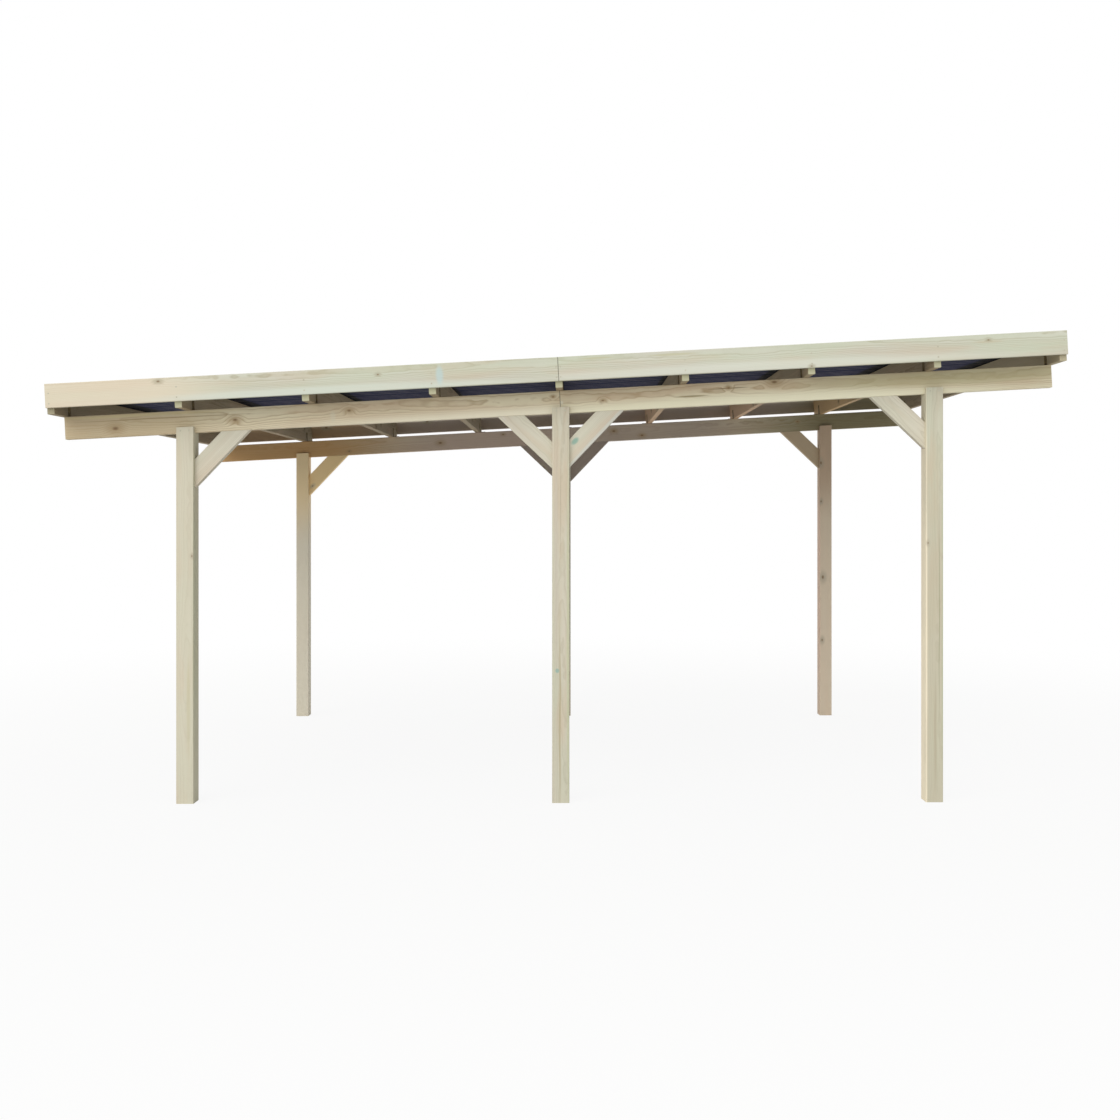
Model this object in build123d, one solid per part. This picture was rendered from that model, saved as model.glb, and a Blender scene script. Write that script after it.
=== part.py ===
from build123d import *
import math
import os

# An open carport in planed softwood, with a single-pitch roof of ribbed sheets.
# X runs along the parking length and rises to the right, Y runs across it, Z is up.
# The front row of posts is at -Y. The origin is on the ground under the middle of the roof.
# All lengths are in millimetres and all angles in degrees.

# Plan, height and slope
roof_length = 5100.0
roof_width = 3040.0
end_overhang = 637.0
side_overhang = 192.0
beam_setback = 20.0
beam_underside_height = 1991.0
roof_slope = 3.08

# Sections of the timber
post_side = 88.0
beam_thickness = 44.0
beam_height = 116.0
brace_width = 100.0
brace_thickness = 44.0
rafter_thickness = 35.0
rafter_height = 120.0
rafter_count = 9
fascia_thickness = 20.0
fascia_height = 120.0
edge_radius = 3.0

# How the pieces meet
cheek_rise = 30.0
brace_leg = 280.0
fascia_lift = 31.0
seat_gap = 0.3
least_brace_lean = 20.0

# Ribbed roof sheets, with their ribs down the slope
sheet_count = 3
sheet_thickness = 1.2
rib_pitch = 70.0
rib_height = 18.0
rib_crest = 20.0
rib_web_run = 12.0
sheet_edge_room = 5.0

# Steel angle brackets that tie each rafter down to the top of the beam
anchor_width = 28.0
anchor_rise = 65.0
anchor_foot = 40.0
anchor_thickness = 2.0
anchor_bend_radius = 1.0

# Places that follow from the sizes above
slope = math.radians(roof_slope)
post_spacing = roof_length / 2 - end_overhang
row_spacing = roof_width - 2 * side_overhang
beam_length = roof_length / 2 - beam_setback
rafter_bottom = beam_height + seat_gap
rafter_top = rafter_bottom + rafter_height
fascia_bottom = beam_height + fascia_lift
fascia_top = fascia_bottom + fascia_height
inner_width = roof_width - 2 * fascia_thickness
rafter_length = inner_width - 2 * seat_gap
rafter_step = (roof_length - rafter_thickness) / (rafter_count - 1)
rib_base = rib_crest + 2 * rib_web_run
sheet_room = inner_width - 2 * sheet_edge_room - rib_base
sheet_pitches = int(sheet_room / rib_pitch / sheet_count)

# The roof stands square to its slope, so its ends lean towards the low side.
# This shift brings the middle of its plan back over the origin.
plan_shift = (fascia_bottom + fascia_top) / 2 * math.sin(slope)

# The roof's own frame: u down its length, y across, w square to the slope from the beams' underside
roof_frame = Pos(plan_shift, 0, beam_underside_height) * Rot(0, -roof_slope, 0)


def underside_at(x):
    """Height of the beams' underside above the ground at a place along the plan."""
    return beam_underside_height + (x - plan_shift) * math.tan(slope)


def upright_prism(outline, y_low, y_high):
    """An outline of (x, z) points, carried straight across from y_low to y_high."""
    face = make_face(Polyline(*[(x, y_low, z) for x, z in outline], close=True))
    return extrude(face, amount=y_high - y_low, dir=(0, 1, 0))


def roof_block(u_ends, y_ends, w_ends, eased=None):
    """A block in the roof's own frame, between pairs of limits, with the edges along one axis eased."""
    size = [abs(high - low) for low, high in (u_ends, y_ends, w_ends)]
    middle = [(high + low) / 2 for low, high in (u_ends, y_ends, w_ends)]
    block = Box(*size)
    if eased is not None:
        block = fillet(block.edges().filter_by(eased), edge_radius)
    return roof_frame * Pos(*middle) * block


def post(x, y):
    """A square post whose head is slotted to take the beam, with a thin cheek each side."""
    half = post_side / 2
    slot_half = beam_thickness / 2 + seat_gap

    def head_line(reach, lift):
        return [(x + side * reach, underside_at(x + side * reach) + lift / math.cos(slope))
                for side in (1, -1)]

    shaft = upright_prism([(x - half, 0), (x + half, 0)] + head_line(half, cheek_rise),
                          y - half, y + half)
    shaft = fillet(shaft.edges().filter_by(Axis.Z), edge_radius)
    slot_floor = head_line(post_side, -seat_gap)
    slot_mouth = head_line(post_side, 2 * cheek_rise)
    slot = upright_prism(slot_floor + slot_mouth[::-1], y - slot_half, y + slot_half)
    return shaft - slot


def leans(edge):
    """True for the long edges of a brace, as its cut ends run upright, level or along the beam."""
    way = edge.tangent_at(0)
    return min(abs(way.X), abs(way.Z)) > math.sin(math.radians(least_brace_lean))


def brace(post_x, y, side):
    """A flat brace cut to the side of a post and to the slope of the beam above it."""
    face_x = post_x + side * (post_side / 2 + seat_gap)
    rise = side * math.tan(slope)
    corner_height = underside_at(face_x) - seat_gap / math.cos(slope)
    lean = 1 + rise
    foot = corner_height - brace_leg
    shoulder = foot + brace_width * math.hypot(1, lean)

    def meets_beam(start):
        run = (corner_height - start) / (lean - rise)
        return (face_x + side * run, start + lean * run)

    outline = [(face_x, foot), meets_beam(foot), meets_beam(shoulder), (face_x, shoulder)]
    half = brace_thickness / 2
    board = upright_prism(outline, y - half, y + half)
    return fillet([edge for edge in board.edges() if leans(edge)], edge_radius)


def beam(y, side):
    """Half a beam, from the joint over the middle post to the open end."""
    half = beam_thickness / 2
    return roof_block((side * seat_gap / 2, side * beam_length), (y - half, y + half),
                      (0, beam_height), Axis.X)


def rafter(u):
    """A rafter on edge across both beams, as long as the room between the fascia boards."""
    half = rafter_thickness / 2
    return roof_block((u - half, u + half), (-rafter_length / 2, rafter_length / 2),
                      (rafter_bottom, rafter_top), Axis.Y)


def fascia(side_y, side_u):
    """Half of a side fascia board, lifted above the underside of the rafter ends."""
    outer = side_y * roof_width / 2
    inner = outer - side_y * fascia_thickness
    return roof_block((side_u * seat_gap / 2, side_u * roof_length / 2), (inner, outer),
                      (fascia_bottom, fascia_top), Axis.X)


def roof_sheet(index):
    """A ribbed sheet that starts and ends on a rib, which laps the rib of the sheet beside it."""
    width = sheet_pitches * rib_pitch
    start = (index - sheet_count / 2) * width - rib_base / 2
    lapped = (sheet_thickness + seat_gap) * (index % 2)
    floor = rafter_top + seat_gap + lapped
    upper = []
    for rib in range(sheet_pitches + 1):
        foot = start + rib * rib_pitch
        upper.append((foot, floor + sheet_thickness))
        upper.append((foot + rib_web_run, floor + sheet_thickness + rib_height))
        upper.append((foot + rib_web_run + rib_crest, floor + sheet_thickness + rib_height))
        upper.append((foot + rib_base, floor + sheet_thickness))
    lower = [(y, w - sheet_thickness) for y, w in reversed(upper)]
    face = make_face(Polyline(*[(-roof_length / 2, y, w) for y, w in upper + lower], close=True))
    return roof_frame * extrude(face, amount=roof_length, dir=(1, 0, 0))


def rafter_anchor(u_rafter, side_u, side_y):
    """A bent angle bracket: one leg up the rafter's side, one foot on the beam's top by its inner edge."""
    bend_u = u_rafter + side_u * (rafter_thickness / 2 + seat_gap)
    bend_w = beam_height + seat_gap
    inner_y = side_y * (row_spacing / 2 - beam_thickness / 2)
    legs = [(0, anchor_rise), (0, 0), (anchor_foot, 0), (anchor_foot, anchor_thickness),
            (anchor_thickness, anchor_thickness), (anchor_thickness, anchor_rise)]
    outline = [(bend_u + side_u * along, inner_y, bend_w + up) for along, up in legs]
    face = make_face(Polyline(*outline, close=True))
    corner = (bend_u, inner_y, bend_w)
    face = fillet(face.vertices().sort_by_distance(corner)[1], anchor_bend_radius)
    face = fillet(face.vertices().sort_by_distance(corner)[0], anchor_bend_radius + anchor_thickness)
    return roof_frame * extrude(face, amount=anchor_width, dir=(0, side_y, 0))


def anchor_row(side_y):
    """One bracket beside every rafter along a beam, on the face towards mid-length."""
    brackets = []
    for u in rafter_places:
        towards_middle = -1 if u > rafter_thickness else 1
        brackets.append(rafter_anchor(u, towards_middle, side_y))
    return Compound(children=brackets)


rafter_places = [-roof_length / 2 + rafter_thickness / 2 + i * rafter_step for i in range(rafter_count)]
rows = {"front": -1, "rear": 1}
ends = {"left": -1, "right": 1}
stations = {"left": -1, "middle": 0, "right": 1}

pieces = {}
for row, side_y in rows.items():
    row_y = side_y * row_spacing / 2
    for station, step in stations.items():
        post_x = plan_shift + step * post_spacing
        pieces[f"post_{row}_{station}"] = post(post_x, row_y)
        for end, side in ends.items():
            if step == 0:
                pieces[f"brace_{row}_middle_{end}"] = brace(post_x, row_y, side)
            elif step == -side:
                pieces[f"brace_{row}_{station}"] = brace(post_x, row_y, side)
    for end, side in ends.items():
        pieces[f"beam_{row}_{end}"] = beam(row_y, side)
        pieces[f"fascia_{row}_{end}"] = fascia(side_y, side)
    pieces[f"rafter_anchors_{row}"] = anchor_row(side_y)
for number, u in enumerate(rafter_places, start=1):
    pieces[f"rafter_{number}"] = rafter(u)
for index, place in enumerate(("front", "middle", "rear")):
    pieces[f"roof_sheet_{place}"] = roof_sheet(index)

os.makedirs("parts", exist_ok=True)
for node, shape in pieces.items():
    export_step(shape, f"parts/{node}.step")
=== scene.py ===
import math
from collections import namedtuple

import bpy
import numpy as np
from mathutils import Matrix, Vector


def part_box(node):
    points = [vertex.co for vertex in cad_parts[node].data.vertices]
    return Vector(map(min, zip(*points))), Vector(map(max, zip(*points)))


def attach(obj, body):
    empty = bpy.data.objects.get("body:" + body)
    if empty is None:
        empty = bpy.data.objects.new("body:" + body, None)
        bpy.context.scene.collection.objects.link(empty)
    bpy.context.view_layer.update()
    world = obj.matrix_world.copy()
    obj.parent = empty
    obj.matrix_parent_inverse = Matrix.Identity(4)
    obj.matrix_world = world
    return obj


bl_info = {
    "name": "Timber carport",
    "version": (1, 0, 0),
    "blender": (4, 5, 0),
    "location": "3D View > Sidebar > Carport",
    "description": "Treated timber, ribbed roof sheets, steel fixings and a studio for the packed carport",
    "category": "Object",
}

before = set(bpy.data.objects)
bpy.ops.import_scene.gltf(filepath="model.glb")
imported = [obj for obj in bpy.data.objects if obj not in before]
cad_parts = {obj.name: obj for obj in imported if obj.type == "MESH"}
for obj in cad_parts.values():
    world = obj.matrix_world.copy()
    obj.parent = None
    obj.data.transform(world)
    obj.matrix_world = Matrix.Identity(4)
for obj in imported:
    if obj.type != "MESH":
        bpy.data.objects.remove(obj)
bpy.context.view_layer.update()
BODY = "root"

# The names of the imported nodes, from the low end of the roof to the high end. A row looks out to -Y or +Y.
ROWS = {"front": -1, "rear": 1}
ENDS = ("left", "right")
STATIONS = ("left", "middle", "right")
SHEETS = ("front", "middle", "rear")
RAFTER_COUNT = 9
RAFTERS = [f"rafter_{number}" for number in range(1, RAFTER_COUNT + 1)]
RIB_PITCH = 0.070

# The braces of a row, and whether each leans right or left on its way up from its post
BRACES = {"left": 1, "middle_left": -1, "middle_right": 1, "right": -1}

# Directions in the row frame
UP = Vector((0, 0, 1))
ACROSS = Vector((0, 1, 0))
TO_VIEWER = Vector((0, -1, 0))


def linear(code):
    """Turns an sRGB hex colour such as #cfccb9 into linear red, green and blue."""
    parts = [int(code[i:i + 2], 16) / 255 for i in (1, 3, 5)]
    return tuple(p / 12.92 if p <= 0.04045 else ((p + 0.055) / 1.055) ** 2.4 for p in parts)


def centre_of(node):
    """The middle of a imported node's box."""
    low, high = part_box(node)
    return (low + high) / 2


# The roof's slope and its own axes: down its length, across it and square to it
ROOF_RUN = centre_of(RAFTERS[-1]) - centre_of(RAFTERS[0])
SLOPE = math.atan2(ROOF_RUN.z, ROOF_RUN.x)
ALONG_ROOF = Vector((math.cos(SLOPE), 0, math.sin(SLOPE)))
ROOF_UP = Vector((-math.sin(SLOPE), 0, math.cos(SLOPE)))
ROOF_AXES = np.array([ALONG_ROOF, ACROSS, ROOF_UP])


def roof_box(node):
    """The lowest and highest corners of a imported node, measured along the roof's own axes."""
    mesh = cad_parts[node].data
    points = np.empty(len(mesh.vertices) * 3, np.float32)
    mesh.vertices.foreach_get("co", points)
    turned = points.reshape(-1, 3) @ ROOF_AXES.T
    return turned.min(0), turned.max(0)


def colour(name, description, code):
    """A colour property whose default is an sRGB hex value."""
    return bpy.props.FloatVectorProperty(
        name=name, description=description, subtype="COLOR", size=3, min=0, max=1, default=linear(code))


def length(name, description, metres):
    """A length property in metres."""
    return bpy.props.FloatProperty(
        name=name, description=description, subtype="DISTANCE", unit="LENGTH", min=0, default=metres)


def share(name, description, value, most=1.0):
    """A plain number property with no unit."""
    return bpy.props.FloatProperty(
        name=name, description=description, subtype="FACTOR", min=0, max=most, default=value)


def angle(name, description, degrees):
    """An angle property that is given in degrees."""
    return bpy.props.FloatProperty(
        name=name, description=description, subtype="ANGLE", unit="ROTATION", default=math.radians(degrees))


class CarportTimber(bpy.types.PropertyGroup):
    """Colours and grain of the pressure-treated pine."""
    fascia_pale: colour("Fascia pale", "Early wood of the fascia boards", "#d2d0c2")
    fascia_dark: colour("Fascia dark", "Late wood of the fascia boards", "#aaa288")
    beam_pale: colour("Beam pale", "Early wood of the beams", "#e3d7ba")
    beam_dark: colour("Beam dark", "Late wood of the beams", "#ad9470")
    post_pale: colour("Post pale", "Early wood of the posts", "#d4cdbb")
    post_dark: colour("Post dark", "Late wood of the posts", "#b3a993")
    brace_pale: colour("Brace pale", "Early wood of the braces", "#dcd5c4")
    brace_dark: colour("Brace dark", "Late wood of the braces", "#bab19b")
    # The rafters' tones are darker than the other members' pine, which is partly painted shade from the roof
    # above them
    rafter_pale: colour("Rafter pale", "Early wood of the rafters", "#ab9a80")
    rafter_dark: colour("Rafter dark", "Late wood of the rafters", "#79674f")
    salt: colour("Treatment green", "Tint that the copper salts leave in the pine", "#c3cdb2")
    flush: colour("Heartwood flush", "Pinkish heartwood that shows through in patches", "#cdb193")
    sawn: colour("Sawn end", "Cut ends, which drink more of the salts", "#c6c6a6")
    knot: colour("Knot", "Heart of a knot", "#7a5e40")
    ring_spacing: length("Ring spacing", "Width of one year's growth", 0.0055)


class CarportSheet(bpy.types.PropertyGroup):
    """Finish of the ribbed roof sheets."""
    body: colour("Sheet", "Colour of the plastic coating", "#1e2046")
    streak: colour("Streak", "Paler drawing marks along the ribs", "#33355f")
    dust: colour("Dust", "Thin bloom of dust that greys the coating in patches", "#5c5b66")
    weathered: colour("Weathered", "The coating on top, out in the weather", "#2a2d38")
    shade: colour("Shade", "The unlit hollows of the ribs beside each rafter", "#050508")
    roughness: share("Roughness", "Roughness of the satin coating", 0.5)


class CarportFixings(bpy.types.PropertyGroup):
    """Sizes and colours of the screws, nails and brackets."""
    zinc: colour("Zinc", "Yellow-passivated zinc of the brackets and nails", "#8f7a48")
    zinc_dark: colour("Zinc dark", "Darker, browner patches in the passivation", "#54452a")
    coating: colour("Coating", "Pale coating of the timber screws", "#cdcbb8")
    coating_dark: colour("Coating dark", "Worn patches in the timber screws' coating", "#b0aa94")
    steel: colour("Steel", "Galvanised steel of the roof screws", "#9b9b95")
    steel_dark: colour("Steel dark", "Duller crystals in the galvanising", "#73736e")
    screw_head: length("Screw head", "Diameter of a countersunk timber screw's head", 0.009)
    nail_head: length("Nail head", "Diameter of a bracket nail's head", 0.007)
    washer: length("Washer", "Diameter of the sealing washer under a roof screw", 0.016)
    hexagon: length("Hexagon", "Width of a roof screw's head", 0.009)


class CarportStudio(bpy.types.PropertyGroup):
    """Floor, light and camera."""
    floor: colour("Floor", "Plain pale floor", "#d8d8d4")
    floor_white: share("Floor white", "How far the camera sees the floor lifted towards white", 0.9)
    floor_reach: length("Floor reach", "Half the side of the floor", 40.0)
    sky: share("Sky", "Strength of the even light all round", 0.78, 4)
    key: share("Key", "Strength of the soft lamp in front", 1.35, 10)
    key_height: angle("Key height", "Angle of the key lamp above the floor", 34)
    key_side: angle("Key side", "Angle of the key lamp to the left of the front", 32)
    key_softness: angle("Key softness", "Angle that the key lamp's disc takes", 60)


def add(tree, kind, inputs=None, **settings):
    """Adds a node, sets its properties, and gives each named input a value or a link."""
    node = tree.nodes.new(kind)
    for key, value in settings.items():
        setattr(node, key, value)
    for key, value in (inputs or {}).items():
        if isinstance(value, bpy.types.NodeSocket):
            tree.links.new(value, node.inputs[key])
        else:
            node.inputs[key].default_value = value
    return node


def new_material(name):
    """An empty node material with its output and shader, and the tree they are in."""
    material = bpy.data.materials.new(name)
    material.use_nodes = True
    tree = material.node_tree
    tree.nodes.clear()
    shader = add(tree, "ShaderNodeBsdfPrincipled")
    add(tree, "ShaderNodeOutputMaterial", {"Surface": shader.outputs["BSDF"]})
    return material, tree, shader


def dress(node, material):
    """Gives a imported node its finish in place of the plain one."""
    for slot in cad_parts[node].material_slots:
        slot.material = material


# A knot: place along the member, place across its face, half its width
Knot = namedtuple("Knot", "along across radius")
# A mark: an ellipse on the face, its colour and its strength. It serves for stains, sapwood and cracks,
# and also for painted light and painted shade.
Mark = namedtuple("Mark", "along across half_length half_width colour strength")
# What the members of a family share: the pith's place across and behind the face, how green the treatment
# left them, how much pink heartwood comes through, how strongly the year rings show, and how many knots
# and how far out a member has whose knots the photograph doesn't show
Family = namedtuple("Family", "pith green flush contrast knot_count knot_reach")
# A member's wood: its grain direction and the face that the pattern is laid out on, its two tones, its
# family, the pith's own place, and what is peculiar to it
Wood = namedtuple("Wood", "along face pale dark family pith knots marks seed")


def opaque(rgb):
    """A colour property as a colour socket takes it."""
    return (*rgb, 1.0)


def spot(tree, place, centre, half_size):
    """How far each point is from an ellipse's centre, where 1 is the rim of the ellipse."""
    scale = (1 / half_size[0], 1 / half_size[1], 0)
    shift = (-centre[0] * scale[0], -centre[1] * scale[1], 0)
    moved = add(tree, "ShaderNodeVectorMath", {0: place, 1: scale, 2: shift}, operation="MULTIPLY_ADD")
    return add(tree, "ShaderNodeVectorMath", {0: moved.outputs[0]}, operation="LENGTH").outputs["Value"]


def noise(tree, place, cells, seed, detail=2.0):
    """Noise whose cells have these sizes in metres along the three axes, moved by a seed."""
    per_metre = tuple(1 / cell for cell in cells)
    shift = (seed * 7.31, seed * 3.17, seed * 5.93)
    moved = add(tree, "ShaderNodeVectorMath", {0: place, 1: per_metre, 2: shift}, operation="MULTIPLY_ADD")
    return add(tree, "ShaderNodeTexNoise", {"Vector": moved.outputs[0], "Scale": 1.0, "Detail": detail})


def facing(tree, direction, none, full, both_ways=False):
    """1 on the faces that look along a direction and 0 on the others, smooth between two cosines."""
    normal = add(tree, "ShaderNodeTexCoord").outputs["Normal"]
    look = add(tree, "ShaderNodeVectorMath", {0: normal, 1: direction}, operation="DOT_PRODUCT")
    look = look.outputs["Value"]
    if both_ways:
        look = add(tree, "ShaderNodeMath", {0: look}, operation="ABSOLUTE").outputs[0]
    return add(tree, "ShaderNodeMapRange", {"Value": look, "From Min": none, "From Max": full},
               interpolation_type="SMOOTHSTEP").outputs["Result"]


def coat(tree, under, rgb, value, none, full, most=1.0, held=1.0, curve="LINEAR"):
    """Lays a colour over another. It covers nothing where the value is at none and its whole share where
    the value is at full, and the held value, from 0 to 1, keeps it to its place."""
    limits = {"From Min": none, "From Max": full, "To Max": most}
    cover = add(tree, "ShaderNodeMapRange", {"Value": value, **limits}, interpolation_type=curve)
    cover = add(tree, "ShaderNodeMath", {0: cover.outputs["Result"], 1: held}, operation="MULTIPLY")
    coated = add(tree, "ShaderNodeMix", {0: cover.outputs[0], 6: under, 7: opaque(rgb)}, data_type="RGBA")
    return coated.outputs[2]


def treated_pine(name, node, wood, timber):
    """Planed, pressure-treated pine. The eye sees pale greenish cream with darker year rings that turn
    into flames on a flat-sawn face, soft lengthwise streaks, and brown knots that bend the rings."""
    material, tree, shader = new_material(name)
    rotation = Matrix((wood.along, wood.face.cross(wood.along), wood.face)).transposed().to_euler()
    place = add(tree, "ShaderNodeMapping",
                {"Vector": add(tree, "ShaderNodeTexCoord").outputs["Object"],
                 "Location": centre_of(node), "Rotation": rotation}, vector_type="TEXTURE").outputs[0]

    # The pith wanders over about a metre, the fibres wave over about 300 mm and the rings ripple over 60 mm
    def bent(point, cells, sway, seed):
        cloud = noise(tree, point, cells, seed, 1.0).outputs["Color"]
        level = (-0.5 * sway[0], -0.5 * sway[1], -0.5 * sway[2])
        push = add(tree, "ShaderNodeVectorMath", {0: cloud, 1: sway, 2: level}, operation="MULTIPLY_ADD")
        return add(tree, "ShaderNodeVectorMath", {0: point, 1: push.outputs[0]}, operation="ADD").outputs[0]

    waved = bent(place, (0.333, 0.0714, 0.0714), (0.0, 0.007, 0.007), wood.seed)
    wandered = bent(waved, (1.111, math.inf, math.inf), (0.0, 0.075, 0.045), wood.seed + 1)
    rippled = bent(wandered, (0.0625, 0.0333, math.inf), (0.0, 0.007, 0.005), wood.seed + 6)
    to_axis = (0, -wood.pith[0], -wood.pith[1])
    from_pith = add(tree, "ShaderNodeVectorMath", {0: rippled, 1: (0, 1, 1), 2: to_axis},
                    operation="MULTIPLY_ADD").outputs[0]
    distance = add(tree, "ShaderNodeVectorMath", {0: from_pith}, operation="LENGTH").outputs["Value"]

    # A knot pushes the rings aside over about five times its own width
    knot_rims = []
    for knot in wood.knots:
        rim = spot(tree, waved, (knot.along, knot.across), (knot.radius * 1.7, knot.radius))
        knot_rims.append(rim)
        bulge = add(tree, "ShaderNodeMapRange",
                    {"Value": rim, "From Min": 5.0, "From Max": 0.0, "To Max": knot.radius * 1.3},
                    interpolation_type="SMOOTHSTEP").outputs["Result"]
        distance = add(tree, "ShaderNodeMath", {0: bulge, 1: distance}).outputs[0]

    # Each year starts pale and ends in a narrow dark band
    years = add(tree, "ShaderNodeMath", {0: distance, 1: timber.ring_spacing}, operation="DIVIDE").outputs[0]
    phase = add(tree, "ShaderNodeMath", {0: years}, operation="FRACT").outputs[0]
    ring = add(tree, "ShaderNodeValToRGB", {"Fac": phase})
    ramp = ring.color_ramp.elements
    ramp[0].position, ramp[0].color = 0.0, (0.05, 0.05, 0.05, 1)
    ramp[1].position, ramp[1].color = 1.0, (0.1, 0.1, 0.1, 1)
    for position, level in ((0.55, 0.25), (0.86, 1.0)):
        ramp.new(position).color = (level, level, level, 1)

    # Real fibres are far finer than a millimetre, and are drawn 7 mm wide so that they show
    fibres = noise(tree, waved, (0.4, 0.00667, 0.00667), wood.seed + 2, 3.0).outputs["Fac"]
    streaks = noise(tree, waved, (1.43, 0.0238, 0.0238), wood.seed + 3).outputs["Fac"]
    clouds = noise(tree, waved, (0.588, 0.0909, 0.0909), wood.seed + 4).outputs["Fac"]
    flushes = noise(tree, waved, (0.4545, 0.0625, 0.0625), wood.seed + 5, 4.0).outputs["Fac"]

    # The darkness of a point is its ring, its fibre and its streak together
    contrast = wood.family.contrast
    tone = add(tree, "ShaderNodeMath", {0: ring.outputs["Color"], 1: contrast, 2: -0.2 - 0.45 * contrast},
               operation="MULTIPLY_ADD").outputs[0]
    tone = add(tree, "ShaderNodeMath", {0: fibres, 1: 0.45, 2: tone}, operation="MULTIPLY_ADD").outputs[0]
    tone = add(tree, "ShaderNodeMath", {0: streaks, 1: 0.6, 2: tone}, operation="MULTIPLY_ADD").outputs[0]
    surface = coat(tree, opaque(wood.pale), wood.dark, tone, 0.0, 1.0)
    surface = coat(tree, surface, timber.salt, clouds, 0.35, 0.7, wood.family.green)
    surface = coat(tree, surface, timber.flush, flushes, 0.48, 0.68, wood.family.flush)

    # Sawn ends drink more of the salts and turn paler and greener
    end_face = facing(tree, wood.along, 0.75, 0.95, both_ways=True)
    surface = coat(tree, surface, timber.sawn, end_face, 0.0, 1.0, 0.75)

    # A mark lies on its own face and the sides, and a knot comes out at the two faces that it runs through
    on_face = facing(tree, wood.face, -0.7, -0.3)
    through = facing(tree, wood.face, 0.3, 0.7, both_ways=True)
    # Some marks are painted light and painted shade, laid on the face they are given and on its sides
    for mark in wood.marks:
        reach = spot(tree, waved, (mark.along, mark.across), (mark.half_length, mark.half_width))
        surface = coat(tree, surface, linear(mark.colour), reach, 1.0, 0.35, mark.strength, on_face,
                       "SMOOTHSTEP")
    for rim in knot_rims:
        surface = coat(tree, surface, wood.dark, rim, 4.2, 0.8, 0.6, through, "SMOOTHSTEP")
        surface = coat(tree, surface, timber.knot, rim, 1.2, 0.2, 0.8, through, "SMOOTHSTEP")
    tree.links.new(surface, shader.inputs["Base Color"])

    rough = add(tree, "ShaderNodeMapRange", {"Value": fibres, "To Min": 0.6, "To Max": 0.82})
    tree.links.new(rough.outputs["Result"], shader.inputs["Roughness"])
    shader.inputs["IOR"].default_value = 1.5
    shader.inputs["Specular IOR Level"].default_value = 0.3
    height = add(tree, "ShaderNodeMath", {0: ring.outputs["Color"], 1: 0.5, 2: fibres},
                 operation="MULTIPLY_ADD").outputs[0]
    relief = add(tree, "ShaderNodeBump", {"Height": height, "Strength": 0.35, "Distance": 0.0006})
    tree.links.new(relief.outputs["Normal"], shader.inputs["Normal"])
    return material


def coated_sheet(name, sheet):
    """Plastic-coated ribbed roofing: satin, near-black blue underneath and weathered to a greyer black on
    top, with faint drawing lines along the ribs and a thin bloom of dust that greys it in patches."""
    material, tree, shader = new_material(name)
    rotation = Matrix((ALONG_ROOF, ACROSS, ALONG_ROOF.cross(ACROSS))).transposed().to_euler()
    place = add(tree, "ShaderNodeMapping",
                {"Vector": add(tree, "ShaderNodeTexCoord").outputs["Object"], "Rotation": rotation},
                vector_type="TEXTURE").outputs[0]
    lines = noise(tree, place, (1.25, 0.01667, math.inf), 3, 3.0).outputs["Fac"]
    dust = noise(tree, place, (0.4545, 0.2857, math.inf), 5, 4.0).outputs["Fac"]
    body = coat(tree, opaque(sheet.body), sheet.streak, lines, 0.5, 0.75, 0.4)
    body = coat(tree, body, sheet.dust, dust, 0.45, 0.8, 0.14)

    # Beside a rafter the ribs keep the light out. The near-black band that the eye sees there is painted
    # shade, toothed by the ribs, and wider towards the ends of the roof, where the eye looks further in over
    # the rafters.
    low, high = roof_box(RAFTERS[0])
    first, half_thickness = (low[0] + high[0]) / 2, (high[0] - low[0]) / 2
    half_step = ROOF_RUN.length / (RAFTER_COUNT - 1) / 2
    apart = add(tree, "ShaderNodeSeparateXYZ", {0: place})
    along, across = apart.outputs["X"], apart.outputs["Y"]
    from_first = add(tree, "ShaderNodeMath", {0: along, 1: first}, operation="SUBTRACT").outputs[0]
    to_rafter = add(tree, "ShaderNodeMath", {0: from_first, 1: half_step}, operation="PINGPONG").outputs[0]
    tooth = add(tree, "ShaderNodeMath", {0: across, 1: RIB_PITCH / 2}, operation="PINGPONG").outputs[0]
    spread = add(tree, "ShaderNodeMath", {0: tooth, 1: 0.35, 2: 0.030}, operation="MULTIPLY_ADD").outputs[0]
    outward = add(tree, "ShaderNodeMath", {0: along}, operation="ABSOLUTE").outputs[0]
    width = add(tree, "ShaderNodeMath", {0: spread, 1: outward, 2: half_thickness},
                operation="MULTIPLY_ADD").outputs[0]
    past_band = add(tree, "ShaderNodeMath", {0: to_rafter, 1: width}, operation="SUBTRACT").outputs[0]
    underside = facing(tree, -ROOF_UP, -0.1, 0.1)
    body = coat(tree, body, sheet.shade, past_band, 0.006, -0.006, 0.92, underside, "SMOOTHSTEP")
    body = coat(tree, body, sheet.weathered, facing(tree, ROOF_UP, -0.1, 0.1), 0.0, 1.0, 0.8)
    tree.links.new(body, shader.inputs["Base Color"])
    rough = add(tree, "ShaderNodeMapRange",
                {"Value": dust, "To Min": sheet.roughness - 0.08, "To Max": sheet.roughness + 0.22})
    tree.links.new(rough.outputs["Result"], shader.inputs["Roughness"])
    shader.inputs["IOR"].default_value = 1.5
    shader.inputs["Specular IOR Level"].default_value = 0.3
    relief = add(tree, "ShaderNodeBump", {"Height": lines, "Strength": 0.2, "Distance": 0.0005})
    tree.links.new(relief.outputs["Normal"], shader.inputs["Normal"])
    return material


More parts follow.
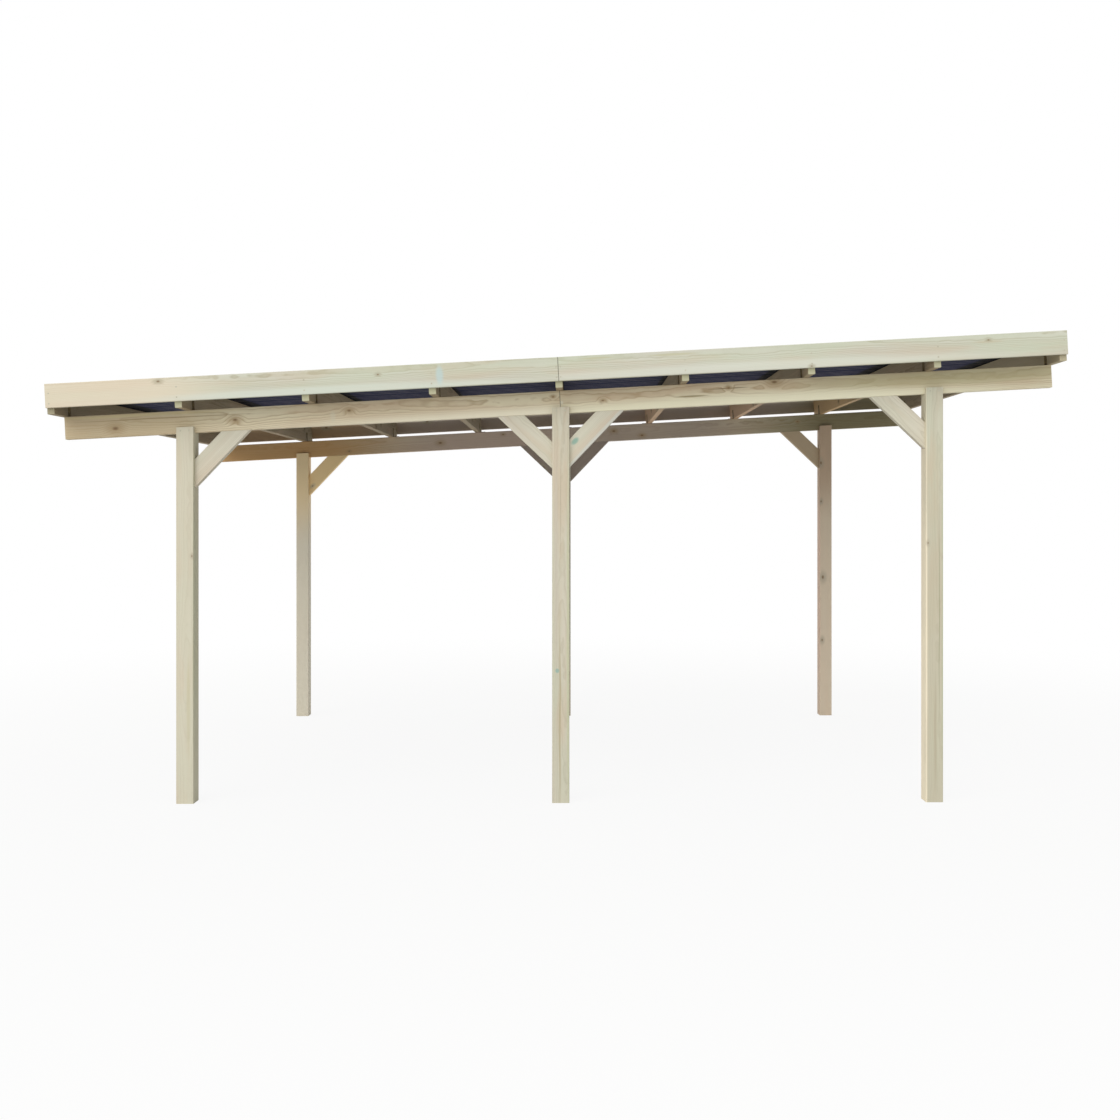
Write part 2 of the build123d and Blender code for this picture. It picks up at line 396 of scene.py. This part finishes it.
def zinc_steel(name, bright, dull, metallic):
    """Zinc-plated steel fixings: a dull metal in two patchy tones. The zinc's crystals are a few
    millimetres wide and are drawn at 5 mm so that they show."""
    material, tree, shader = new_material(name)
    place = add(tree, "ShaderNodeTexCoord").outputs["Object"]
    crystal = 0.005
    crystals = add(tree, "ShaderNodeTexVoronoi", {"Vector": place, "Scale": 1 / crystal}).outputs["Color"]
    patch = noise(tree, place, (0.01667, 0.01667, 0.01667), 2, 3.0).outputs["Fac"]
    tone = add(tree, "ShaderNodeMath", {0: crystals, 1: 0.4, 2: patch}, operation="MULTIPLY_ADD").outputs[0]
    tree.links.new(coat(tree, opaque(bright), dull, tone, 0.4, 1.0), shader.inputs["Base Color"])
    shader.inputs["Metallic"].default_value = metallic
    rough = add(tree, "ShaderNodeMapRange", {"Value": patch, "To Min": 0.45, "To Max": 0.7})
    tree.links.new(rough.outputs["Result"], shader.inputs["Roughness"])
    return material


# Pith beside the board gives straight lines, and pith behind it gives flames
FAMILIES = {
    "fascia": Family((0.040, -0.055), 0.5, 0.25, 0.7, 2, 0.05),
    "beam": Family((0.020, -0.060), 0.15, 0.5, 0.75, 3, 0.048),
    "post": Family((0.012, -0.030), 0.32, 0.35, 0.4, 3, 0.036),
    "brace": Family((-0.045, -0.050), 0.22, 0.3, 0.4, 1, 0.04),
    "rafter": Family((0.030, -0.040), 0.1, 0.25, 0.5, 3, 0.05),
}

# The dark line of the joint between two lengths, placed where the joint is
JOINT = Mark(0.0, 0.0, 0.0026, 0.4, "#5c5546", 0.75)

# Knots and marks that the photograph shows, in metres along and across the front face. Many of the marks are
# painted light and painted shade, named where they stand. A post's are heights above the ground, and the
# others are counted from the member's middle towards the high end.
KNOTS = {
    "fascia_front_left": [Knot(-0.712, 0.043, 0.006), Knot(0.378, 0.020, 0.004)],
    "fascia_front_right": [Knot(0.879, 0.030, 0.004), Knot(-0.011, -0.052, 0.004)],
    "beam_front_left": [Knot(-1.008, -0.016, 0.011), Knot(-0.398, -0.004, 0.009), Knot(0.185, 0.012, 0.007),
                        Knot(1.230, 0.027, 0.004)],
    "beam_front_right": [Knot(-0.399, 0.026, 0.005), Knot(-0.163, 0.044, 0.010), Knot(-1.046, -0.005, 0.005)],
    "post_front_left": [Knot(1.261, 0.037, 0.004)],
    "post_front_middle": [],
    "post_front_right": [Knot(1.255, 0.046, 0.004), Knot(1.327, -0.034, 0.004)],
    "post_rear_left": [],
    "post_rear_right": [Knot(1.849, -0.034, 0.009), Knot(1.567, -0.034, 0.006), Knot(1.013, -0.020, 0.010),
                        Knot(0.552, -0.027, 0.007)],
    "brace_front_left": [],
    "brace_front_middle_left": [],
    "brace_front_middle_right": [],
    "brace_front_right": [],
}
MARKS = {
    "fascia_front_left": [
        Mark(-1.05, 0.0, 0.85, 0.16, "#e8d7be", 0.6),
        Mark(0.15, -0.048, 1.2, 0.034, "#d6ded2", 0.6),
        Mark(0.684, 0.0, 0.026, 0.060, "#b9d3d6", 0.6),
    ],
    "fascia_front_right": [
        Mark(-0.3, -0.040, 1.7, 0.036, "#dadccf", 0.6),
        Mark(-1.085, 0.045, 0.12, 0.007, "#bdb894", 0.6),
        Mark(-0.700, 0.042, 0.16, 0.008, "#bdb894", 0.6),
        Mark(0.880, 0.022, 0.10, 0.010, "#c3b79c", 0.5),
    ],
    "beam_front_left": [
        Mark(1.20, -0.072, 1.75, 0.078, "#eae2ca", 1.0),
        Mark(0.101, -0.012, 0.020, 0.040, "#d8d0b8", 0.6),
        Mark(-1.10, 0.0, 0.75, 0.20, "#c0ab87", 0.6),
        Mark(-0.95, 0.047, 0.75, 0.010, "#d6c79c", 0.7),
        Mark(-0.75, 0.026, 0.60, 0.004, "#8f7550", 0.6),
    ],
    "beam_front_right": [
        Mark(-0.35, -0.062, 1.9, 0.078, "#ece7cb", 0.95),
        Mark(-0.400, 0.024, 0.14, 0.004, "#7a6346", 0.8),
        Mark(-0.589, -0.007, 0.11, 0.006, "#a19370", 0.9),
        Mark(-1.258, -0.004, 0.012, 0.012, "#e0dbc8", 0.8),
        Mark(0.75, 0.020, 1.1, 0.055, "#bfb78f", 0.65),
    ],
    "post_front_left": [
        Mark(1.1, 0.0, 2.4, 0.30, "#dad3bd", 0.4),
        # Painted shade: a darker greenish tint over the post's right side face
        Mark(0.95, 0.052, 1.6, 0.016, "#bcbd9f", 0.7),
        Mark(0.50, 0.020, 0.35, 0.012, "#c5bd9b", 0.5),
    ],
    "post_front_middle": [
        Mark(1.55, 0.001, 0.45, 0.0024, "#a0967e", 0.55),
        Mark(0.45, -0.004, 0.62, 0.006, "#b3a787", 0.8),
        Mark(0.80, 0.038, 1.3, 0.010, "#bfc39f", 0.6),
        Mark(1.25, -0.022, 0.75, 0.016, "#c9c0b0", 0.6),
        Mark(0.675, -0.018, 0.016, 0.014, "#84ada3", 0.7),
    ],
    "post_front_right": [
        Mark(0.55, 0.0, 1.5, 0.30, "#bfb9a0", 0.5),
        # Painted highlight: a bright warm strip over the post's left side face, where the light falls
        Mark(0.60, -0.054, 2.6, 0.022, "#fff2d6", 1.0),
        Mark(0.95, 0.024, 0.75, 0.0035, "#a3a083", 0.8),
        Mark(0.35, 0.004, 0.40, 0.009, "#b5a98f", 0.6),
        Mark(1.0, 0.043, 1.2, 0.008, "#b4bb98", 0.6),
    ],
    # The rear posts' marks are painted light and shade: a warm painted glow at the top of the left post, a
    # painted highlight on the right post's left side, and lighter or darker tints over their faces for the
    # light at the back
    "post_rear_left": [
        Mark(0.3, 0.0, 2.6, 0.30, "#e4dcc8", 0.8),
        Mark(1.95, 0.0, 0.75, 0.30, "#fbe0ae", 0.85),
    ],
    "post_rear_right": [
        Mark(0.9, 0.0, 2.4, 0.30, "#e6d3ba", 0.8),
        Mark(1.05, -0.058, 2.2, 0.024, "#ecc9b4", 0.9),
        Mark(2.0, 0.0, 0.60, 0.30, "#c7ad92", 0.8),
    ],
    # The rear beams' and fascias' marks are painted shade on their inner faces, for the shade under the roof,
    # with a warm painted glow on the left half of the left beam
    "beam_rear_left": [
        Mark(-1.0, 0.0, 1.35, 0.30, "#c79a62", 0.85),
        Mark(0.9, 0.0, 1.2, 0.30, "#cdb7aa", 0.8),
    ],
    "beam_rear_right": [
        Mark(-0.8, 0.0, 1.2, 0.30, "#bfaea2", 0.75),
        Mark(1.1, 0.0, 1.2, 0.30, "#7d7453", 0.85),
    ],
    "fascia_rear_left": [
        Mark(-0.7, 0.0, 1.1, 0.30, "#b79470", 0.8),
        Mark(0.8, 0.0, 1.3, 0.30, "#b8a69c", 0.85),
    ],
    "fascia_rear_right": [
        Mark(-0.4, 0.0, 1.5, 0.30, "#b4a299", 0.85),
        Mark(1.2, 0.0, 1.0, 0.30, "#8f8466", 0.85),
    ],
    # The rafters' marks are painted light and shade: paler tints on the lit sides of rafters 6 to 9, and
    # painted shade over the front half of rafter_1's side
    "rafter_1": [Mark(-1.0, 0.0, 1.3, 0.30, "#8d8068", 0.6)],
    "rafter_6": [Mark(1.0, 0.0, 1.3, 0.30, "#d8b695", 0.9)],
    "rafter_7": [Mark(1.0, 0.0, 1.3, 0.30, "#d8b695", 0.9)],
    "rafter_8": [Mark(1.0, 0.0, 1.3, 0.30, "#cfae80", 0.9)],
    "rafter_9": [Mark(-1.0, 0.0, 1.3, 0.30, "#b9ad92", 0.8)],
    "brace_front_middle_left": [
        Mark(0.0, 0.010, 0.40, 0.003, "#a39a83", 0.8),
        Mark(0.0, -0.012, 0.40, 0.012, "#d3cbbb", 0.6),
    ],
    "brace_front_middle_right": [
        Mark(0.0, 0.006, 0.40, 0.014, "#cfd2ca", 0.7),
        Mark(0.0, -0.018, 0.40, 0.003, "#a9a08a", 0.7),
        Mark(-0.085, 0.072, 0.032, 0.017, "#7aab9c", 0.75),
    ],
    # The rear braces' marks are painted light and shade: a warm painted glow on the left brace and darker
    # tints on the others under the roof
    "brace_rear_left": [Mark(0.0, 0.0, 0.60, 0.30, "#ffe0a8", 0.95)],
    "brace_rear_right": [Mark(0.0, 0.0, 0.50, 0.30, "#c9b190", 0.8)],
    "brace_rear_middle_left": [Mark(0.0, 0.0, 0.50, 0.30, "#a4948a", 0.9)],
    "brace_rear_middle_right": [Mark(0.0, 0.0, 0.50, 0.30, "#a4948a", 0.9)],
}


def scattered_knots(family, length_reach, rng):
    """A few knots at seeded places on a member whose knots the photograph doesn't show."""
    return [Knot(rng.uniform(-length_reach, length_reach), rng.uniform(-family.knot_reach, family.knot_reach),
                 rng.uniform(0.004, 0.009))
            for _ in range(family.knot_count)]


def finish_member(node, kind, along, face, timber, seed):
    """Works out one member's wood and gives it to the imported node."""
    family = FAMILIES[kind]
    low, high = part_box(node)
    clear_of_ends = 0.46
    pith_spread = 0.012
    rng = np.random.default_rng(seed)
    knots = scattered_knots(family, max(high - low) * clear_of_ends, rng)
    pith = [place + rng.uniform(-pith_spread, pith_spread) for place in family.pith]
    knots = KNOTS.get(node, knots)
    marks = MARKS.get(node, [])
    if kind in ("fascia", "beam"):
        low_end, high_end = roof_box(node)
        half_length = (high_end[0] - low_end[0]) / 2
        marks = [*marks, JOINT._replace(along=half_length if node.endswith("left") else -half_length)]
    if kind == "post":
        middle = centre_of(node).z
        marks = [mark._replace(along=middle - mark.along) for mark in marks]
        if node in KNOTS:
            knots = [knot._replace(along=middle - knot.along) for knot in knots]
    wood = Wood(along.normalized(), face, getattr(timber, f"{kind}_pale"), getattr(timber, f"{kind}_dark"),
                family, pith, knots, marks, seed)
    dress(node, treated_pine(f"treated_pine_{node}", node, wood, timber))


class CARPORT_OT_posts(bpy.types.Operator):
    """Finish the six square posts"""
    bl_idname = "carport.posts"
    bl_label = "Posts"

    def execute(self, context):
        timber = context.scene.carport_timber
        for seed, name in enumerate([f"post_{row}_{station}" for row in ROWS for station in STATIONS], 10):
            finish_member(name, "post", -UP, TO_VIEWER, timber, seed)
        return {"FINISHED"}


class CARPORT_OT_beams(bpy.types.Operator):
    """Finish the four half beams"""
    bl_idname = "carport.beams"
    bl_label = "Beams"

    def execute(self, context):
        timber = context.scene.carport_timber
        for seed, name in enumerate([f"beam_{row}_{end}" for row in ROWS for end in ENDS], 20):
            finish_member(name, "beam", ALONG_ROOF, TO_VIEWER, timber, seed)
        return {"FINISHED"}


class CARPORT_OT_braces(bpy.types.Operator):
    """Finish the eight braces"""
    bl_idname = "carport.braces"
    bl_label = "Braces"

    def execute(self, context):
        timber = context.scene.carport_timber
        for seed, (row, place) in enumerate([(row, place) for row in ROWS for place in BRACES], 30):
            lean = BRACES[place]
            along = Vector((lean, 0, 1 + lean * math.tan(SLOPE)))
            finish_member(f"brace_{row}_{place}", "brace", along, TO_VIEWER, timber, seed)
        return {"FINISHED"}


class CARPORT_OT_rafters(bpy.types.Operator):
    """Finish the nine rafters"""
    bl_idname = "carport.rafters"
    bl_label = "Rafters"

    def execute(self, context):
        timber = context.scene.carport_timber
        for seed, name in enumerate(RAFTERS, 40):
            inward = -1 if centre_of(name).x > 0 else 1
            finish_member(name, "rafter", ACROSS, ALONG_ROOF * inward, timber, seed)
        return {"FINISHED"}


class CARPORT_OT_fascias(bpy.types.Operator):
    """Finish the four half fascia boards"""
    bl_idname = "carport.fascias"
    bl_label = "Fascia boards"

    def execute(self, context):
        timber = context.scene.carport_timber
        for seed, name in enumerate([f"fascia_{row}_{end}" for row in ROWS for end in ENDS], 60):
            finish_member(name, "fascia", ALONG_ROOF, TO_VIEWER, timber, seed)
        return {"FINISHED"}


class CARPORT_OT_roof(bpy.types.Operator):
    """Finish the ribbed roof sheets"""
    bl_idname = "carport.roof"
    bl_label = "Roof sheets"

    def execute(self, context):
        material = coated_sheet("plastic_coated_roofing", context.scene.carport_sheet)
        for place in SHEETS:
            dress(f"roof_sheet_{place}", material)
        return {"FINISHED"}


class CARPORT_OT_brackets(bpy.types.Operator):
    """Finish the angle brackets between the rafters and the beams"""
    bl_idname = "carport.brackets"
    bl_label = "Rafter brackets"

    def execute(self, context):
        fixings = context.scene.carport_fixings
        material = zinc_steel("yellow_zinc_bracket", fixings.zinc, fixings.zinc_dark, 0.35)
        for row in ROWS:
            dress(f"rafter_anchors_{row}", material)
        return {"FINISHED"}


def turned_heads(name, spots, outward, profile, sides, material):
    """One mesh of many small round heads. Each is a profile of (radius, height) pairs carried round the
    outward axis: a point is spot + radius * (cos turn * first + sin turn * second) + height * outward."""
    spots = np.asarray(spots, float)
    axis = np.broadcast_to(np.asarray(outward, float), spots.shape)
    helper = np.where(np.abs(axis[:, 2:3]) > 0.7, [[1.0, 0, 0]], [[0, 0, 1.0]])
    first = np.cross(helper, axis)
    first /= np.linalg.norm(first, axis=1, keepdims=True)
    second = np.cross(axis, first)
    radius, height = np.array(profile, float).T
    turn = np.arange(sides) * 2 * np.pi / sides
    ring = np.cos(turn)[:, None, None] * first + np.sin(turn)[:, None, None] * second
    points = spots + height[:, None, None, None] * axis + radius[:, None, None, None] * ring
    points = points.transpose(2, 0, 1, 3)
    rows, count = len(profile), len(spots)
    grid = np.arange(count * rows * sides).reshape(count, rows, sides)
    ahead = np.roll(grid, -1, axis=2)
    walls = np.stack([grid[:, :-1], ahead[:, :-1], ahead[:, 1:], grid[:, 1:]], -1).reshape(-1, 4)
    caps = [*grid[:, -1].tolist(), *grid[:, 0, ::-1].tolist()]
    mesh = bpy.data.meshes.new(name)
    mesh.from_pydata(points.reshape(-1, 3), [], [*walls.tolist(), *caps])
    mesh.materials.append(material)
    piece = bpy.data.objects.new(name, mesh)
    bpy.context.scene.collection.objects.link(piece)
    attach(piece, BODY)


def in_row_frame(places):
    """Turns places along the roof's own axes into the row frame."""
    return np.asarray(places, float) @ ROOF_AXES


def countersunk(diameter):
    """Outline of a countersunk head that stands a third of a millimetre proud, dished for the driver."""
    rim = diameter / 2
    return [(rim * 0.6, -0.0015), (rim, -0.0002), (rim * 0.96, 0.00035), (rim * 0.45, 0.0003),
            (rim * 0.3, 0.0001)]


class CARPORT_OT_timber_screws(bpy.types.Operator):
    """Drive the screws through the fascia boards and the post cheeks"""
    bl_idname = "carport.timber_screws"
    bl_label = "Timber screws"

    def execute(self, context):
        fixings = context.scene.carport_fixings
        material = zinc_steel("coated_timber_screw", fixings.coating, fixings.coating_dark, 0.0)
        head = countersunk(fixings.screw_head)
        from_fascia_foot, from_rafter_top, from_joint = 0.020, 0.018, 0.010
        from_cheek_top, from_post_middle = 0.018, 0.022
        rafter_top = roof_box(RAFTERS[0])[1][2]
        for row, out in ROWS.items():
            low, high = roof_box(f"fascia_{row}_left")
            face = low[1] if out < 0 else high[1]
            levels = (low[2] + from_fascia_foot, rafter_top - from_rafter_top)
            places = []
            for rafter in RAFTERS:
                middle = centre_of(rafter).dot(ALONG_ROOF)
                at_joint = abs(middle - high[0]) < from_joint
                for step in (-from_joint, from_joint) if at_joint else (0,):
                    places += [(middle + step, face, level) for level in levels]
            turned_heads(f"fascia_screws_{row}", in_row_frame(places), (0, out, 0), head, 10, material)

            cheeks = []
            for station in STATIONS:
                low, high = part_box(f"post_{row}_{station}")
                for step in (-from_post_middle, from_post_middle):
                    x = (low.x + high.x) / 2 + step
                    z = high.z - from_cheek_top - (high.x - x) * math.tan(SLOPE)
                    cheeks.append((x, low.y if out < 0 else high.y, z))
            turned_heads(f"cheek_screws_{row}", cheeks, (0, out, 0), head, 10, material)
        return {"FINISHED"}


class CARPORT_OT_sheet_screws(bpy.types.Operator):
    """Fasten the roof sheets to every rafter through their crests"""
    bl_idname = "carport.sheet_screws"
    bl_label = "Roof screws"

    def execute(self, context):
        fixings = context.scene.carport_fixings
        material = zinc_steel("galvanised_roof_screw", fixings.steel, fixings.steel_dark, 0.6)
        crests_per_screw = 3
        first_low, first_high = roof_box("roof_sheet_front")
        middle_low, middle_high = roof_box("roof_sheet_middle")
        far_edge = roof_box("roof_sheet_rear")[1][1]
        half_lap = (first_high[1] - middle_low[1]) / 2
        crests = np.arange(first_low[1] + half_lap, far_edge, RIB_PITCH)[::crests_per_screw]
        places = []
        for rafter in RAFTERS:
            for y in crests:
                on_middle = middle_low[1] < y < middle_high[1]
                top = middle_high[2] if on_middle else first_high[2]
                places.append((centre_of(rafter).dot(ALONG_ROOF), y, top))
        washer, hexagon = fixings.washer / 2, fixings.hexagon / 2
        outline = [(washer, -0.0004), (washer, 0.0008), (washer * 0.7, 0.0016), (hexagon, 0.0017),
                   (hexagon, 0.0052), (hexagon * 0.75, 0.0058)]
        turned_heads("roof_screws", in_row_frame(places), ROOF_UP, outline, 6, material)
        return {"FINISHED"}


class CARPORT_OT_bracket_nails(bpy.types.Operator):
    """Nail the brackets to the rafters and the beams"""
    bl_idname = "carport.bracket_nails"
    bl_label = "Bracket nails"

    def execute(self, context):
        fixings = context.scene.carport_fixings
        material = zinc_steel("yellow_zinc_nail", fixings.zinc, fixings.zinc_dark, 0.35)
        rim = fixings.nail_head / 2
        dome = [(rim, -0.0003), (rim, 0.0006), (rim * 0.7, 0.0013), (rim * 0.3, 0.0016)]
        plate, gap, inset = 0.002, 0.0003, 0.014
        up_the_leg, along_the_foot = (0.018, 0.036, 0.054), (0.015, 0.030)
        for row, out in ROWS.items():
            beam_low, beam_high = roof_box(f"beam_{row}_left")
            middle = (beam_high[1] if out < 0 else beam_low[1]) + out * inset
            top = beam_high[2]
            on_rafter, rafter_way, on_beam = [], [], []
            for rafter in RAFTERS:
                low, high = roof_box(rafter)
                inward = -1 if (low[0] + high[0]) / 2 > gap else 1
                face = high[0] if inward > 0 else low[0]
                on_rafter += [(face + inward * (plate + gap), middle, top + height) for height in up_the_leg]
                rafter_way += [ALONG_ROOF * inward] * len(up_the_leg)
                on_beam += [(face + inward * reach, middle, top + gap + plate) for reach in along_the_foot]
            turned_heads(f"rafter_nails_{row}", in_row_frame(on_rafter), rafter_way, dome, 8, material)
            turned_heads(f"beam_nails_{row}", in_row_frame(on_beam), ROOF_UP, dome, 8, material)
        return {"FINISHED"}


class CARPORT_OT_stage(bpy.types.Operator):
    """Lay the floor, light the studio and set the camera at the photograph's view"""
    bl_idname = "carport.stage"
    bl_label = "Studio"

    def execute(self, context):
        studio = context.scene.carport_studio
        lay_floor(studio)
        light_studio(context.scene, studio)
        set_camera(context.scene)
        return {"FINISHED"}


# Half the length and half the width of the patch of floor that keeps the carport's shadow, in metres
SHADOW_PATCH = (9.0, 7.5)


def lay_floor(studio):
    """A flat floor that keeps the carport's shadow near it and turns plain white further out."""
    reach = studio.floor_reach
    mesh = bpy.data.meshes.new("studio_floor")
    corners = [(-reach, -reach, 0), (reach, -reach, 0), (reach, reach, 0), (-reach, reach, 0)]
    mesh.from_pydata(corners, [], [(0, 1, 2, 3)])
    material, tree, shader = new_material("matt_floor_paint")
    shader.inputs["Base Color"].default_value = opaque(studio.floor)
    shader.inputs["Roughness"].default_value = 0.9
    shader.inputs["Specular IOR Level"].default_value = 0.1
    away = spot(tree, add(tree, "ShaderNodeTexCoord").outputs["Object"], (0, 0), SHADOW_PATCH)
    limits = {"From Min": 0.35, "From Max": 1.0, "To Min": studio.floor_white, "To Max": 1.0}
    spread = add(tree, "ShaderNodeMapRange", {"Value": away, **limits},
                 interpolation_type="SMOOTHSTEP").outputs["Result"]
    seen = add(tree, "ShaderNodeLightPath").outputs["Is Camera Ray"]
    plain = add(tree, "ShaderNodeMath", {0: seen, 1: spread}, operation="MULTIPLY").outputs[0]
    paint = shader.outputs["BSDF"]
    white = add(tree, "ShaderNodeEmission", {"Color": (1, 1, 1, 1), "Strength": 1.0}).outputs["Emission"]
    both = add(tree, "ShaderNodeMixShader", {0: plain, 1: paint, 2: white})
    tree.links.new(both.outputs[0], tree.nodes["Material Output"].inputs["Surface"])
    mesh.materials.append(material)
    floor = bpy.data.objects.new("studio_floor", mesh)
    bpy.context.scene.collection.objects.link(floor)


def light_studio(scene, studio):
    """An even white dome, and one broad soft lamp from the front."""
    world = bpy.data.worlds.new("studio_dome")
    scene.world = world
    world.use_nodes = True
    tree = world.node_tree
    tree.nodes.clear()
    path = add(tree, "ShaderNodeLightPath")
    seen = add(tree, "ShaderNodeMath", {0: path.outputs["Is Camera Ray"], 1: path.outputs["Is Glossy Ray"]},
               operation="MAXIMUM").outputs[0]
    seen = add(tree, "ShaderNodeMath", {0: seen, 1: path.outputs["Is Transmission Ray"]},
               operation="MAXIMUM").outputs[0]
    strength = add(tree, "ShaderNodeMapRange", {"Value": seen, "To Min": studio.sky, "To Max": 1.0})
    dome = add(tree, "ShaderNodeBackground", {"Color": (1, 1, 1, 1), "Strength": strength.outputs["Result"]})
    add(tree, "ShaderNodeOutputWorld", {"Surface": dome.outputs["Background"]})

    lamp = bpy.data.lights.new("key_lamp", "SUN")
    lamp.energy = studio.key
    lamp.angle = studio.key_softness
    key = bpy.data.objects.new("key_lamp", lamp)
    towards = Vector((-math.sin(studio.key_side) * math.cos(studio.key_height),
                      -math.cos(studio.key_side) * math.cos(studio.key_height), math.sin(studio.key_height)))
    key.rotation_euler = towards.to_track_quat("Z", "Y").to_euler()
    scene.collection.objects.link(key)
    scene.view_settings.view_transform = "Standard"


# The camera, fitted to the photograph's own edges: place in metres, turn to the right, focal length and
# principal point in the photograph's pixels
CAMERA_PLACE = (0.0755, -7.5074, 1.4757)
CAMERA_TURN = math.radians(0.532)
PHOTO_SIDE = 1120
FOCAL_PIXELS = 1202.2
MIDDLE_PIXEL = (584.52, 513.90)
SENSOR_WIDTH = 36.0


def set_camera(scene):
    """A level camera with the small shift that the photograph's framing needs."""
    data = bpy.data.cameras.new("photo_camera")
    data.sensor_width = SENSOR_WIDTH
    data.lens = FOCAL_PIXELS / PHOTO_SIDE * SENSOR_WIDTH
    data.shift_x = 0.5 - MIDDLE_PIXEL[0] / PHOTO_SIDE
    data.shift_y = MIDDLE_PIXEL[1] / PHOTO_SIDE - 0.5
    data.clip_end = 200
    camera = bpy.data.objects.new("photo_camera", data)
    camera.location = CAMERA_PLACE
    camera.rotation_euler = (math.pi / 2, 0, -CAMERA_TURN)
    scene.collection.objects.link(camera)
    scene.camera = camera


OPERATORS = (CARPORT_OT_stage, CARPORT_OT_posts, CARPORT_OT_beams, CARPORT_OT_braces, CARPORT_OT_rafters,
             CARPORT_OT_fascias, CARPORT_OT_roof, CARPORT_OT_brackets, CARPORT_OT_timber_screws,
             CARPORT_OT_sheet_screws, CARPORT_OT_bracket_nails)
SETTINGS = {
    "carport_timber": CarportTimber,
    "carport_sheet": CarportSheet,
    "carport_fixings": CarportFixings,
    "carport_studio": CarportStudio,
}


class CARPORT_PT_panel(bpy.types.Panel):
    """Lists the carport's settings and the steps that use them"""
    bl_label = "Carport"
    bl_idname = "CARPORT_PT_panel"
    bl_space_type = "VIEW_3D"
    bl_region_type = "UI"
    bl_category = "Carport"

    def draw(self, context):
        for key, group in SETTINGS.items():
            box = self.layout.box()
            box.label(text=group.__name__)
            for name in group.__annotations__:
                box.prop(getattr(context.scene, key), name)
        for operator in OPERATORS:
            self.layout.operator(operator.bl_idname)


CLASSES = (*SETTINGS.values(), *OPERATORS, CARPORT_PT_panel)


def register():
    for item in CLASSES:
        bpy.utils.register_class(item)
    for key, group in SETTINGS.items():
        setattr(bpy.types.Scene, key, bpy.props.PointerProperty(type=group))


def unregister():
    for key in SETTINGS:
        delattr(bpy.types.Scene, key)
    for item in reversed(CLASSES):
        bpy.utils.unregister_class(item)


def main():
    """Runs every step in order."""
    register()
    for operator in OPERATORS:
        group, step = operator.bl_idname.split(".")
        getattr(getattr(bpy.ops, group), step)()


if __name__ == "__main__":
    main()
